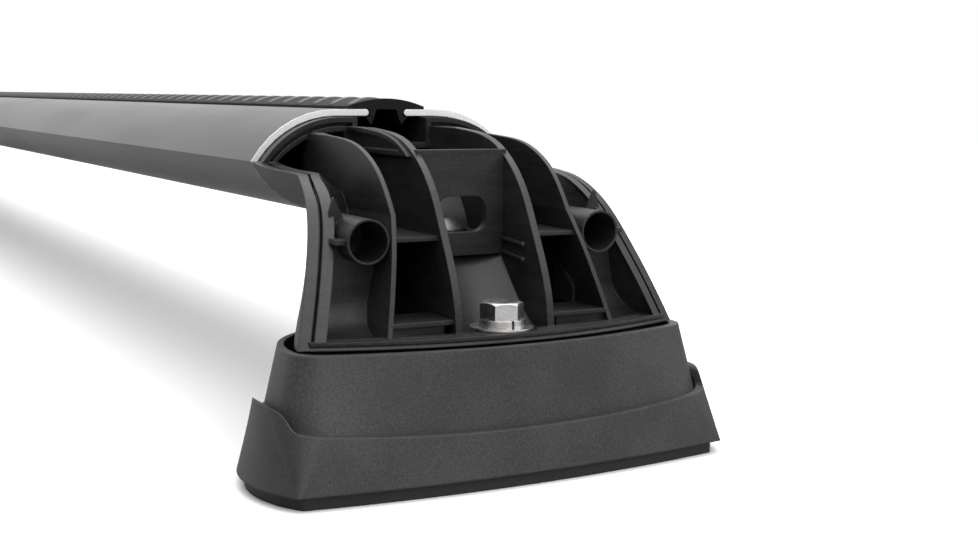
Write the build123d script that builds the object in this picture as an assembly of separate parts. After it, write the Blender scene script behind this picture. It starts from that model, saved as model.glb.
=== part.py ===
from build123d import *
from math import hypot, sqrt
import os

# Roof rack crossbar: an extruded bar on two bolt-down legs, the near one open and the far one covered.
# Frame in millimetres: X along the bar, Y along the vehicle, Z up, origin midway between the bolts on the roof.
# Each leg is drawn about its own bolt axis, with +X outboard, and heights of its curves above its seat.

# Bar
BAR_LENGTH = 1000.0
BAR_WIDTH = 83.4
BAR_HEIGHT = 29.7
BAR_WALL = 1.9
BAR_TOP_FLAT = 32.0
BAR_BOTTOM_FLAT = 34.0
BAR_TIP_DROP = 14.7
SLOT_MOUTH = 11.4

# Rubber strip in the bar's slot
STRIP_WIDTH = 24.4
STRIP_CROWN = 3.5
STRIP_EDGE = 0.8
STRIP_LEG = 2.6
STRIP_BARB = 1.4
STRIP_BARB_HEIGHT = 2.4
STRIP_FIT = 0.3

# Heights, stacked up from the roof
GASKET_THICKNESS = 3.5
PAD_DECK = 8.5
SKIRT_HEIGHT = 22.2
SEAT_RISE = 1.5
BAR_RISE = 25.6

# Leg column: height above the seat, rim x, half width and back x of its D-shaped plan
BAR_REACH = 69.9
COLUMN_STATIONS = (
    (-1.1, -2.0, 54.4, -47.0),
    (11.6, -7.8, 50.5, -46.0),
    (22.0, -13.8, 47.2, -46.5),
    (32.0, -22.0, 44.2, -53.0),
    (40.6, -40.0, 41.7, -66.0),
)
COLUMN_FRONT = 14.0
COLUMN_WALL = 3.4
RIM_LIP = 2.7
RIM_GROOVE = 0.8
RIM_GROOVE_DEPTH = 1.8
RIM_CURVE = (
    (-2.0, 54.4, -1.1), (-7.8, 50.5, 11.6), (-12.8, 47.6, 20.6), (-19.4, 45.0, 29.6), (-25.9, 43.4, 34.6),
    (-33.2, 42.6, 37.6), (-46.0, 42.0, 39.0),
)
RIM_CROWN = 130.0
SILL_RISE = 1.0
SILL_NOTCH = 0.8
NECK_INSET = 3.0
NECK_WALL = 3.0
SPIGOT_LENGTH = 60.0
SPIGOT_FIT = 0.3
SPIGOT_LAP = 4.0
SPIGOT_LIP = 1.6
SPIGOT_GROOVE = 1.0
CHANNEL_WIDTH = 22.0
CHANNEL_DEPTH = 9.6

# Upright ribs: x and height above the seat of the front edges
INNER_RIB = 2.0
INNER_RIB_Y = 13.3
INNER_RIB_EDGE = (
    (2.4, 0.0), (0.0, 12.0), (-6.6, 25.4), (-12.0, 34.7), (-19.8, 42.6), (-28.7, 47.4),
    (-43.0, 49.9), (-62.0, 51.9),
)
OUTER_RIB = 1.3
OUTER_RIB_FOOT_Y = 32.9
OUTER_RIB_KNEE_Y = 26.3
OUTER_RIB_KNEE = 29.6
OUTER_RIB_EDGE = (
    (2.2, 0.0), (-3.9, 17.6), (-10.0, 29.6), (-13.6, 34.6), (-18.6, 39.8), (-26.0, 44.2), (-33.6, 46.7),
    (-46.0, 48.1), (-62.0, 49.7),
)
SHELF_HEIGHT = 24.2
SHELF_FRONT = -8.0
SHELF = 1.1
LOW_STEP_HEIGHT = 4.2
LOW_STEP_FRONT = 1.0
LOW_STEP_LIP = 1.2
LOW_STEP_RECESS = 1.0
LOW_STEP_WALL = 2.3
LOW_STEP_DEPTH = 14.0
LOW_STEP_NOTCH = 3.0
FLANGE = 1.4
FLANGE_REACH = 2.2
FLANGE_HEIGHT = 45.0

# Peg sockets of the leg
SOCKET_Y = 33.8
SOCKET_HEIGHT = 23.7
SOCKET_MOUTH = -6.8
SOCKET_BORE = 10.2
SOCKET_WALL = 0.6
SOCKET_DEPTH = 16.0
SOCKET_WEB = 1.3
GUSSET_RISE = 11.0
POCKET_X = -14.0
POCKET_FLARE = 10.0
POCKET_WALL = 2.0

# Window panel between the inner ribs
PANEL_X = -22.0
PANEL = 2.3
PANEL_TOP = 45.4
PANEL_FOOT = 17.2
WINDOW_WIDTH = 15.0
WINDOW_SILL = 23.4
WINDOW_HEIGHT = 9.6
WINDOW_ROUND = 4.0
BAY_FOOT_RADIUS = 13.1
BAY_SLOPE = 0.74

# Leg screw behind the window, its boss and its nut
SCREW_X = -35.0
SCREW_DIAMETER = 8.0
SCREW_HEAD_DIAMETER = 15.0
SCREW_HEAD = 4.4
SCREW_SOCKET = 5.0
SCREW_SOCKET_DEPTH = 2.5
SCREW_SEAT = 22.4
BOSS_WALL = 2.5
BOSS_SHELF = 3.0
NUT_ACROSS_FLATS = 13.0
NUT_HEIGHT = 6.5
BOLT_HOLE_CLEARANCE = 0.3

# Mounting bolt, washers and sleeve
BOLT_DIAMETER = 6.0
BOLT_THREAD_DIAMETER = 5.35
BOLT_HEAD_ACROSS_FLATS = 10.0
BOLT_HEAD_HEIGHT = 4.4
BOLT_HEAD_CHAMFER = 0.5
BOLT_TURN = 14.0
BOLT_REACH = 14.0
BOLT_TIP_CHAMFER = 0.8
SPRING_WASHER_DIAMETER = 11.8
SPRING_WASHER_HEIGHT = 1.9
SPRING_WASHER_SPLIT = 0.7
FLAT_WASHER_DIAMETER = 16.3
FLAT_WASHER_HEIGHT = 1.6
WASHER_CLEARANCE = 0.2
SLEEVE_WALL = 1.6

# Foot: front centre x, corner x, corner half width, back radius and corner rounding of each outline
FOOT_CENTRE_X = 8.4
FOOT_END_X = -8.0
FOOT_BACK_CORNER_X = -30.0
SKIRT_TOP = (12.0, 2.4, 55.6, 58.6, 8.0)
SKIRT_FOOT = (14.6, 9.4, 59.0, 63.6, 14.0)
SKIRT_WALL = 1.8
SKIRT_LIFT = 0.4
PAD_TOP = (15.2, 9.0, 58.8, 64.4, 16.0)
PAD_FOOT = (18.4, 13.8, 60.6, 68.6, 1.5)
PAD_RIM_END = 10.0
PAD_RIM_CORNER = 5.0
PAD_RIM_CORNER_Y = 57.4
PAD_RIM_CENTRE = 2.5
PAD_GAP = 0.5
GASKET_INSET = 2.0

# Screws that hold the spigot, from under the bar
PIN_DIAMETER = 4.0
PIN_HEAD_DIAMETER = 8.0
PIN_HEAD = 2.2
PIN_PITCH = 24.0
PIN_FIRST = 18.0

# Outer cover
COVER_WALL = 2.0
COVER_CLEARANCE = 3.7
COVER_CROWN = 330.0
COVER_GAP = 0.4
COVER_LAP = 2.3
PEG_FIT = 0.06
PEG_ENGAGED = 14.0

RIM = 2 * RIM_LIP + RIM_GROOVE
SPIGOT = 2 * SPIGOT_LIP + SPIGOT_GROOVE
deck_top = GASKET_THICKNESS + PAD_DECK
skirt_top = deck_top + SKIRT_HEIGHT
seat = skirt_top + SEAT_RISE
bar_bottom = seat + BAR_RISE
bar_top = bar_bottom + BAR_HEIGHT
tip_z = bar_top - BAR_TIP_DROP
bolt_x = BAR_LENGTH / 2 + BAR_REACH
neck_top = seat + COLUMN_STATIONS[0][0]
far_side = 2 * BAR_WIDTH


def pull_y(edges, depth):
    """Draw edges in X and Z and pull the face both ways along Y."""
    return extrude(Plane.XZ * make_face(edges), amount=depth, both=True)


def pull_x(sketch, start, end):
    """Pull a sketch drawn in Y and Z from one X to another."""
    return extrude(Plane.YZ.offset(start) * sketch, amount=end - start)


def block(low, high):
    """A block between two corners."""
    size = Vector(*high) - Vector(*low)
    return Pos(*low) * Box(*size, align=(Align.MIN, Align.MIN, Align.MIN))


def rod(x, y, low, high, diameter):
    """An upright cylinder between two heights."""
    align = (Align.CENTER, Align.CENTER, Align.MIN)
    return Pos(x, y, low) * Cylinder(diameter / 2, high - low, align=align)


def rod_x(y, z, start, end, diameter):
    """A cylinder along X between two places."""
    return extrude(Plane.YZ.offset(start) * Pos(y, z) * Circle(diameter / 2), amount=end - start)


def both_sides(part):
    """The part and its mirror image across the leg's middle."""
    return part + mirror(part, Plane.XZ)


def bar_outline(inset):
    """The bar's aerofoil outline in Y and Z, drawn in by a wall."""
    top, bottom = bar_top - inset, bar_bottom + inset
    tip = BAR_WIDTH / 2 - inset
    edges = []
    for side in (-1, 1):
        edges += [
            Line((0, top), (side * BAR_TOP_FLAT / 2, top)),
            TangentArc((side * BAR_TOP_FLAT / 2, top), (side * tip, tip_z), tangent=(side, 0)),
            TangentArc((side * BAR_BOTTOM_FLAT / 2, bottom), (side * tip, tip_z), tangent=(side, 0)),
            Line((0, bottom), (side * BAR_BOTTOM_FLAT / 2, bottom)),
        ]
    return make_face(edges)


def bar():
    """Extruded bar with a round-lipped slot and the holes for the spigot screws."""
    section = bar_outline(0) - bar_outline(BAR_WALL)
    section -= Pos(0, bar_top) * Rectangle(SLOT_MOUTH + BAR_WALL, BAR_HEIGHT)
    for side in (-1, 1):
        section += Pos(side * (SLOT_MOUTH + BAR_WALL) / 2, bar_top - BAR_WALL / 2) * Circle(BAR_WALL / 2)
    tube = pull_x(section, -BAR_LENGTH / 2, BAR_LENGTH / 2)
    for side in (-1, 1):
        for x in pin_places():
            tube -= rod(side * (bolt_x + x), 0, bar_bottom - BAR_WALL, bar_bottom + 2 * BAR_WALL,
                        PIN_DIAMETER + 2 * BOLT_HOLE_CLEARANCE)
    return tube


def top_strip():
    """Domed rubber strip with two barbed legs through the slot's mouth."""
    edge = bar_top + STRIP_EDGE
    leg_out = SLOT_MOUTH / 2 - STRIP_FIT
    barb_top = bar_top - BAR_WALL - STRIP_FIT
    dome = make_face([
        Line((-STRIP_WIDTH / 2, edge), (-STRIP_WIDTH / 2, bar_top)),
        Line((-STRIP_WIDTH / 2, bar_top), (STRIP_WIDTH / 2, bar_top)),
        Line((STRIP_WIDTH / 2, bar_top), (STRIP_WIDTH / 2, edge)),
        ThreePointArc((STRIP_WIDTH / 2, edge), (0, bar_top + STRIP_CROWN), (-STRIP_WIDTH / 2, edge)),
    ])
    section = dome
    for side in (-1, 1):
        section += make_face(Polyline(
            (side * leg_out, bar_top),
            (side * leg_out, barb_top),
            (side * (leg_out + STRIP_BARB), barb_top),
            (side * (leg_out - STRIP_LEG / 4), barb_top - STRIP_BARB_HEIGHT),
            (side * (leg_out - STRIP_LEG), bar_top),
            close=True,
        ))
    return pull_x(section, -BAR_LENGTH / 2, BAR_LENGTH / 2)


def pin_places():
    """Leg x of the two spigot screws."""
    first = -BAR_REACH - PIN_FIRST
    return (first, first - PIN_PITCH)


def d_plan(station, inset, back_inset):
    """D-shaped plan of the column at one station."""
    height, rim_x, half_width, back_x = station
    half = half_width - inset
    plan = make_face([
        ThreePointArc((rim_x, -half), (back_x + back_inset, 0), (rim_x, half)),
        Line((rim_x, half), (COLUMN_FRONT, half)),
        Line((COLUMN_FRONT, half), (COLUMN_FRONT, -half)),
        Line((COLUMN_FRONT, -half), (rim_x, -half)),
    ])
    return Pos(0, 0, seat + height) * plan


def column(inset, back_inset):
    """Tapering column of the leg, before its front is cut to the rim."""
    return loft([d_plan(station, inset, back_inset) for station in COLUMN_STATIONS])


def collar(inset):
    """The bar's outline carried on outboard of its cut end."""
    return pull_x(bar_outline(inset), -BAR_REACH, COLUMN_FRONT)


def at_seat(points):
    """Leg points given as x and height above the seat."""
    return [(x, seat + height) for x, height in points]


def grown(points, gap):
    """Points of an upward curve moved outwards by a gap, square to the curve."""
    moved = []
    for i, (x, z) in enumerate(points):
        before, after = points[max(i - 1, 0)], points[min(i + 1, len(points) - 1)]
        run, rise = after[0] - before[0], after[1] - before[1]
        length = hypot(run, rise)
        moved.append((x + gap * rise / length, z - gap * run / length))
    return moved


def behind_rim(shift):
    """All that lies behind and under the rim's crowned curve, moved back by a shift."""
    places = RIM_CURVE + ((-BAR_REACH, BAR_WIDTH / 2, tip_z - seat),)
    crown = [(hypot(x + RIM_CROWN, y) - RIM_CROWN, seat + height) for x, y, height in places]
    curve = grown(crown, -shift)
    foot, tip = curve[0], curve[-1]
    low_front, low_axis, high_axis = (foot[0], 0), (-RIM_CROWN, 0), (-RIM_CROWN, tip[1])
    half = make_face([
        Spline(curve), Line(tip, high_axis), Line(high_axis, low_axis), Line(low_axis, low_front),
        Line(low_front, foot),
    ])
    return revolve(Plane.XZ * half, Axis((-RIM_CROWN, 0, 0), (0, 0, 1)))


def foot_disc(inset, low, high):
    """Disc whose edge is the rim's crowned front at the foot, drawn in by an inset."""
    rim_x, half_width, _ = RIM_CURVE[0]
    return rod(-RIM_CROWN, 0, low, high, 2 * (hypot(rim_x + RIM_CROWN, half_width) - inset))


def under_edge(points):
    """All that lies behind and under a rib's front edge."""
    edge = at_seat(points)
    back, low_back = (-BAR_REACH, edge[-1][1]), (-BAR_REACH, edge[0][1])
    return pull_y([
        Spline(edge), Line(edge[-1], back), Line(back, low_back), Line(low_back, edge[0]),
    ], far_side)


def ribs(envelope):
    """Two inner and two outer upright ribs with the shelves between them."""
    half = INNER_RIB / 2
    inner = block((-BAR_REACH, INNER_RIB_Y - half, seat), (COLUMN_FRONT, INNER_RIB_Y + half, bar_top))
    inner &= under_edge(INNER_RIB_EDGE)
    knee, foot_y = seat + OUTER_RIB_KNEE, OUTER_RIB_FOOT_Y - OUTER_RIB
    outer = pull_x(make_face(Polyline(
        (OUTER_RIB_FOOT_Y, seat), (OUTER_RIB_KNEE_Y, knee), (OUTER_RIB_KNEE_Y, bar_top),
        (OUTER_RIB_KNEE_Y - OUTER_RIB, bar_top), (OUTER_RIB_KNEE_Y - OUTER_RIB, knee), (foot_y, seat),
        close=True,
    )), -BAR_REACH, COLUMN_FRONT)
    outer &= under_edge(OUTER_RIB_EDGE)
    shelf = block((-BAR_REACH, INNER_RIB_Y, seat + SHELF_HEIGHT - SHELF),
                  (SHELF_FRONT, OUTER_RIB_KNEE_Y + OUTER_RIB / 2, seat + SHELF_HEIGHT))
    step_back, step_top = LOW_STEP_FRONT - LOW_STEP_DEPTH, seat + LOW_STEP_HEIGHT
    panel_front = LOW_STEP_FRONT - LOW_STEP_RECESS
    step = block((step_back, INNER_RIB_Y, step_top - LOW_STEP_LIP), (LOW_STEP_FRONT, foot_y, step_top))
    step += block((panel_front - LOW_STEP_WALL, INNER_RIB_Y + LOW_STEP_NOTCH, seat),
                  (panel_front, foot_y, step_top))
    step += block((step_back, INNER_RIB_Y, seat), (step_back + LOW_STEP_WALL, foot_y, step_top))
    flange_top = seat + FLANGE_HEIGHT
    behind_edge = Pos(-FLANGE_REACH, 0, 0) * under_edge(INNER_RIB_EDGE)
    flange = block((SPIGOT_LAP - BAR_REACH, INNER_RIB_Y, flange_top - FLANGE),
                   (COLUMN_FRONT, INNER_RIB_Y + FLANGE_REACH, bar_top)) & behind_edge
    flange -= (Pos(0, 0, -FLANGE) * behind_edge) - block((-far_side, 0, 0), (far_side, far_side, flange_top))
    return both_sides((inner + outer + shelf + step + flange) & envelope)


def sockets(envelope):
    """Peg sockets with their side webs and gussets, and the flared wall of the pocket under each."""
    z = seat + SOCKET_HEIGHT
    outer = SOCKET_BORE + 2 * SOCKET_WALL
    tube = rod_x(SOCKET_Y, z, -BAR_REACH, SOCKET_MOUTH, outer)
    web = block((-BAR_REACH, OUTER_RIB_KNEE_Y, z - SOCKET_WEB / 2),
                (SOCKET_MOUTH - SOCKET_WEB, BAR_WIDTH, z + SOCKET_WEB / 2))
    gusset_x = SOCKET_MOUTH - outer
    gusset = pull_x(make_face(Polyline(
        (SOCKET_Y, z), (BAR_WIDTH / 2, z), (BAR_WIDTH / 2, z + outer / 2 + GUSSET_RISE), close=True,
    )), gusset_x, gusset_x + SOCKET_WEB)
    flare_top, flare_foot = (POCKET_X, seat + POCKET_FLARE), (POCKET_X + POCKET_FLARE, seat)
    back = POCKET_X - POCKET_WALL
    pocket = pull_y([
        Line((POCKET_X, z), flare_top), TangentArc(flare_top, flare_foot, tangent=(0, -1)),
        Line(flare_foot, (back, seat)), Line((back, seat), (back, z)), Line((back, z), (POCKET_X, z)),
    ], BAR_WIDTH)
    half, knee = OUTER_RIB / 2, seat + OUTER_RIB_KNEE
    pocket &= pull_x(make_face(Polyline(
        (OUTER_RIB_FOOT_Y - half, seat), (OUTER_RIB_KNEE_Y - half, knee), (BAR_WIDTH, knee), (BAR_WIDTH, seat),
        close=True,
    )), back, COLUMN_FRONT)
    bore = rod_x(SOCKET_Y, z, SOCKET_MOUTH - SOCKET_DEPTH, COLUMN_FRONT, SOCKET_BORE)
    return both_sides((tube + web + gusset + pocket) & envelope), both_sides(bore)


def bay_cone(wall):
    """Cone round the bolt that leaves room for a wrench, grown by a wall."""
    height = SCREW_SEAT - BOSS_SHELF
    foot = BAY_FOOT_RADIUS + wall
    return Pos(0, 0, seat) * Cone(foot, foot + BAY_SLOPE * height, height,
                                  align=(Align.CENTER, Align.CENTER, Align.MIN))


def window_panel(envelope):
    """Panel and sloping bay wall between the inner ribs, with the screw's shelf and boss."""
    side = INNER_RIB_Y
    shelf_top = seat + SCREW_SEAT
    panel = block((PANEL_X - PANEL, -side, seat + PANEL_FOOT), (PANEL_X, side, seat + PANEL_TOP))
    shelf = block((-BAR_REACH, -side, shelf_top - BOSS_SHELF), (PANEL_X, side, shelf_top))
    bay = bay_cone(PANEL) - bay_cone(0)
    bay &= block((-BAR_REACH, -side, seat), (0, side, shelf_top))
    window = Plane.YZ.offset(PANEL_X) * Pos(0, seat + WINDOW_SILL + WINDOW_HEIGHT / 2) * RectangleRounded(
        WINDOW_WIDTH, WINDOW_HEIGHT, WINDOW_ROUND)
    panel -= extrude(window, amount=2 * PANEL, both=True)
    boss = rod(SCREW_X, 0, seat, shelf_top, SCREW_DIAMETER + 2 * BOSS_WALL)
    return (panel + shelf + bay + boss) & envelope


def spigot():
    """Hollow tongue inside the bar, grooved round its upper front edge."""
    def form(inset):
        """Section inside the bar's skin, with a channel under the slot, drawn in by an inset."""
        low = bar_top - CHANNEL_DEPTH - inset
        channel = Rectangle(CHANNEL_WIDTH + 2 * inset, bar_top - low, align=(Align.CENTER, Align.MIN))
        return bar_outline(BAR_WALL + SPIGOT_FIT + inset) - Pos(0, low) * channel
    front = SPIGOT_LAP - BAR_REACH
    tongue = pull_x(form(0) - form(SPIGOT), -BAR_REACH - SPIGOT_LENGTH, front)
    groove = form(SPIGOT_LIP) - form(SPIGOT_LIP + SPIGOT_GROOVE)
    groove = pull_x(groove, front - RIM_GROOVE_DEPTH, front)
    upper = block((-2 * BAR_REACH, -BAR_WIDTH, tip_z), (COLUMN_FRONT, BAR_WIDTH, bar_top))
    return tongue - (groove & upper)


def neck():
    """Hollow foot of the leg inside the skirt, with bosses for the bolt's sleeve and the screw."""
    def form(inset):
        """Column's lowest plan drawn in by an inset, down to the deck."""
        plan = Pos(0, 0, deck_top - neck_top) * d_plan(COLUMN_STATIONS[0], inset, inset)
        return extrude(plan, amount=neck_top - deck_top) & foot_disc(inset, deck_top, neck_top)
    solid = form(NECK_INSET)
    bosses = rod(0, 0, deck_top, neck_top, BOLT_DIAMETER + 2 * (SLEEVE_WALL + BOSS_WALL))
    bosses += rod(SCREW_X, 0, deck_top, neck_top, SCREW_DIAMETER + 2 * BOSS_WALL)
    return solid - form(NECK_INSET + NECK_WALL) + (bosses & solid)


def sill():
    """Grooved lip along the front of the floor, notched round the washer."""
    high = seat + SILL_RISE
    plan = extrude(d_plan(COLUMN_STATIONS[0], RIM_LIP, 0), amount=2 * SEAT_RISE + SILL_RISE)
    outer = foot_disc(0, seat, high) - foot_disc(RIM_LIP, seat, high)
    inner = foot_disc(RIM_LIP + RIM_GROOVE, seat, high) - foot_disc(RIM, seat, high)
    return ((outer + inner) & plan) - rod(0, 0, seat, high, FLAT_WASHER_DIAMETER + 2 * SILL_NOTCH)


def leg_holes():
    """Holes of the leg for the sleeve, the screw and the spigot's screws."""
    sleeve = rod(0, 0, 0, seat, BOLT_DIAMETER + 2 * SLEEVE_WALL + 2 * BOLT_HOLE_CLEARANCE)
    screw = rod(SCREW_X, 0, 0, seat + SCREW_SEAT, SCREW_DIAMETER + 2 * BOLT_HOLE_CLEARANCE)
    holes = sleeve + screw
    for x in pin_places():
        holes += rod(x, 0, bar_bottom, bar_bottom + 2 * SPIGOT, PIN_DIAMETER)
    return holes


def leg():
    """The whole leg moulding."""
    rim = behind_rim(0)
    room = block((-2 * BAR_REACH, -BAR_WIDTH, seat), (2 * COLUMN_FRONT, BAR_WIDTH, 2 * bar_top))
    outside = column(0, 0) + collar(0)
    inside = (column(RIM, COLUMN_WALL) & room) + collar(RIM)
    inner_lip = RIM - RIM_LIP / 2
    envelope = (column(inner_lip, RIM_LIP) & room) + collar(inner_lip)
    shell = (outside & rim) - inside
    groove = (column(RIM_LIP, RIM_LIP) + collar(RIM_LIP)) - (
        column(RIM_LIP + RIM_GROOVE, RIM_LIP) + collar(RIM_LIP + RIM_GROOVE))
    shell -= (groove & room) - behind_rim(RIM_GROOVE_DEPTH)
    tubes, bores = sockets(envelope)
    solid = shell + spigot() + neck() + sill() + ribs(envelope) + tubes + window_panel(envelope)
    return solid - bores - leg_holes()


def foot_plan(sizes, inset, z):
    """Outline of the foot: bowed front, rounded corners and a round back."""
    front, corner_x, corner_y, radius, rounding = sizes
    reach = radius - inset
    corner = (corner_x - inset, corner_y - inset)
    end, back = [(x, sqrt(reach**2 - (FOOT_CENTRE_X - x) ** 2)) for x in (FOOT_END_X, FOOT_BACK_CORNER_X)]
    flip = [(x, -y) for x, y in (corner, end, back)]
    plan = make_face([
        ThreePointArc(flip[0], (front - inset, 0), corner),
        ThreePointArc(corner, end, back),
        ThreePointArc(back, (FOOT_CENTRE_X - reach, 0), flip[2]),
        ThreePointArc(flip[2], flip[1], flip[0]),
    ])
    return Pos(0, 0, z) * fillet(plan.vertices().sort_by(Axis.X)[-2:], rounding)


def tapered_foot(top, foot, inset, low, high):
    """Foot solid that tapers from one outline up to another."""
    return loft([foot_plan(foot, inset, low), foot_plan(top, inset, high)])


def skirt():
    """Open shroud that stands on the pad's deck round the leg's neck."""
    low, high = deck_top + SKIRT_LIFT, skirt_top
    return tapered_foot(SKIRT_TOP, SKIRT_FOOT, 0, low, high) - tapered_foot(
        SKIRT_TOP, SKIRT_FOOT, SKIRT_WALL, low, high)


def pad_rim():
    """All that lies under the pad's rim, which is lowest at the middle and highest at the ends."""
    corner, end = PAD_RIM_CORNER_Y, sqrt(PAD_TOP[3] ** 2 - (FOOT_CENTRE_X - FOOT_END_X) ** 2)
    low, high = deck_top + PAD_RIM_CORNER, deck_top + PAD_RIM_END
    front = ThreePointArc((-corner, low), (0, deck_top + PAD_RIM_CENTRE), (corner, low))
    right = Spline([(corner, low), (end, high)], tangents=[front % 1, (1, 0)])
    left = Spline([(-corner, low), (-end, high)], tangents=[-(front % 0), (-1, 0)])
    box = Polyline((end, high), (far_side, high), (far_side, 0),
                   (-far_side, 0), (-far_side, high), (-end, high))
    return pull_x(make_face([left, front, right, box]), -far_side, far_side)


def base_pad():
    """Foot moulding: a deck with a dished rim round the skirt, a bolt hole and a nut pocket."""
    low, high = GASKET_THICKNESS, deck_top + PAD_RIM_END
    body = tapered_foot(PAD_TOP, PAD_FOOT, 0, low, high) & pad_rim()
    grown = [tuple(value + PAD_GAP for value in sizes) for sizes in (SKIRT_TOP, SKIRT_FOOT)]
    body -= tapered_foot(grown[0], grown[1], 0, deck_top, skirt_top)
    body -= rod(0, 0, 0, skirt_top, BOLT_DIAMETER + 2 * BOLT_HOLE_CLEARANCE)
    body -= rod(SCREW_X, 0, 0, skirt_top, SCREW_DIAMETER + 2 * BOLT_HOLE_CLEARANCE)
    pocket = RegularPolygon(NUT_ACROSS_FLATS / 2 + BOLT_HOLE_CLEARANCE, 6, major_radius=False)
    return body - extrude(Pos(SCREW_X, 0, low) * pocket, amount=NUT_HEIGHT)


def gasket():
    """Rubber sheet under the pad."""
    sheet = extrude(foot_plan(PAD_FOOT, GASKET_INSET, 0), amount=GASKET_THICKNESS)
    return sheet - rod(0, 0, 0, GASKET_THICKNESS, BOLT_DIAMETER + 2 * BOLT_HOLE_CLEARANCE)


def washer(low, height, diameter):
    """Plain ring on the bolt."""
    ring = Circle(diameter / 2) - Circle(BOLT_DIAMETER / 2 + WASHER_CLEARANCE)
    return extrude(Pos(0, 0, low) * ring, amount=height)


def flat_washer():
    """Flat washer on the sleeve's end."""
    return washer(seat, FLAT_WASHER_HEIGHT, FLAT_WASHER_DIAMETER)


def spring_washer():
    """Split washer between the flat washer and the bolt's head."""
    low = seat + FLAT_WASHER_HEIGHT
    ring = washer(low, SPRING_WASHER_HEIGHT, SPRING_WASHER_DIAMETER)
    half = SPRING_WASHER_SPLIT / 2
    return ring - block((0, -half, low), (SPRING_WASHER_DIAMETER, half, low + SPRING_WASHER_HEIGHT))


def hexagon(across_flats, x, low, height, turn):
    """Hexagonal prism, turned about its axis."""
    shape = RegularPolygon(across_flats / 2, 6, major_radius=False)
    return extrude(Pos(x, 0, low) * Rot(0, 0, turn) * shape, amount=height)


def mount_bolt():
    """Hexagon bolt that reaches through the foot into the roof."""
    under_head = seat + FLAT_WASHER_HEIGHT + SPRING_WASHER_HEIGHT
    top = under_head + BOLT_HEAD_HEIGHT
    head = hexagon(BOLT_HEAD_ACROSS_FLATS, 0, under_head, BOLT_HEAD_HEIGHT, BOLT_TURN)
    rise = BOLT_HEAD_HEIGHT
    crown = BOLT_HEAD_ACROSS_FLATS / 2 - BOLT_HEAD_CHAMFER / 2
    head &= Pos(0, 0, top) * Cone(crown + 2 * rise, crown, rise, align=(Align.CENTER, Align.CENTER, Align.MAX))
    thread = rod(0, 0, -BOLT_REACH, 0, BOLT_THREAD_DIAMETER)
    thread = chamfer(thread.edges().sort_by(Axis.Z)[0], BOLT_TIP_CHAMFER)
    return head + rod(0, 0, 0, under_head, BOLT_DIAMETER) + thread


def bolt_sleeve():
    """Steel tube that carries the bolt's load from washer to deck."""
    bore = BOLT_DIAMETER + 2 * WASHER_CLEARANCE
    return rod(0, 0, deck_top, seat, BOLT_DIAMETER + 2 * SLEEVE_WALL) - rod(0, 0, deck_top, seat, bore)


def leg_screw():
    """Round-headed screw with a hexagon socket, down into the pad's nut."""
    head_low = seat + SCREW_SEAT
    low = GASKET_THICKNESS + BOLT_HOLE_CLEARANCE
    radius = SCREW_HEAD_DIAMETER / 2
    edge = SCREW_HEAD / 4
    half = make_face([
        Line((0, 0), (radius, 0)), Line((radius, 0), (radius, edge)),
        TangentArc((0, SCREW_HEAD), (radius, edge), tangent=(1, 0)),
        Line((0, SCREW_HEAD), (0, 0)),
    ])
    head = Pos(SCREW_X, 0, head_low) * revolve(Plane.XZ * half, Axis.Z)
    head -= hexagon(SCREW_SOCKET, SCREW_X, head_low + SCREW_HEAD - SCREW_SOCKET_DEPTH, SCREW_HEAD, 0)
    return head + rod(SCREW_X, 0, low, head_low, SCREW_DIAMETER)


def leg_nut():
    """Nut held in the pad's pocket."""
    low = GASKET_THICKNESS + BOLT_HOLE_CLEARANCE
    height = NUT_HEIGHT - BOLT_HOLE_CLEARANCE
    return hexagon(NUT_ACROSS_FLATS, SCREW_X, low, height, 0) - rod(SCREW_X, 0, low, deck_top, SCREW_DIAMETER)


def spigot_screws():
    """Two pan-headed screws up through the bar's floor into the spigot."""
    screws = Part()
    for x in pin_places():
        head = rod(x, 0, bar_bottom - PIN_HEAD, bar_bottom, PIN_HEAD_DIAMETER)
        head = chamfer(head.edges().sort_by(Axis.Z)[0], PIN_HEAD / 2)
        screws += head + rod(x, 0, bar_bottom, bar_bottom + BAR_WALL + SPIGOT, PIN_DIAMETER)
    return screws


def nose(inset):
    """The leg's whole outer form with its cover on, drawn in by an inset."""
    edge = grown(at_seat(INNER_RIB_EDGE), COVER_CLEARANCE + COVER_WALL - inset)
    low = seat + SILL_RISE + COVER_GAP
    rim_x, half_width, _ = RIM_CURVE[0]
    foot_x = hypot(rim_x + RIM_CROWN, half_width) - RIM_CROWN + COVER_LAP - inset
    top, start = (-BAR_REACH, bar_top - inset), (foot_x, low)
    axis_low, axis_high = (-COVER_CROWN, low), (-COVER_CROWN, top[1])
    half = make_face([
        Line(axis_low, start), Spline([start] + edge[1:] + [top]), Line(top, axis_high),
        Line(axis_high, axis_low),
    ])
    front = revolve(Plane.XZ * half, Axis((-COVER_CROWN, 0, 0), (0, 0, 1)))
    return front & (column(inset, inset) + collar(inset))


def cover():
    """Snap-on outer cover with two pegs for the leg's sockets."""
    shell = nose(0) - nose(COVER_WALL) - behind_rim(-COVER_GAP)
    shell &= block((COVER_GAP - BAR_REACH, -BAR_WIDTH, 0), (COLUMN_FRONT, BAR_WIDTH, bar_top))
    z, diameter = seat + SOCKET_HEIGHT, SOCKET_BORE - 2 * PEG_FIT
    peg = rod_x(SOCKET_Y, z, SOCKET_MOUTH - PEG_ENGAGED, COLUMN_FRONT, diameter)
    return shell + both_sides(peg & nose(COVER_WALL / 2))


PARTS = {
    "leg": leg, "skirt": skirt, "base_pad": base_pad, "gasket": gasket, "mount_bolt": mount_bolt,
    "spring_washer": spring_washer, "flat_washer": flat_washer, "bolt_sleeve": bolt_sleeve,
    "leg_screw": leg_screw, "leg_nut": leg_nut, "spigot_screws": spigot_screws,
}


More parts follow.
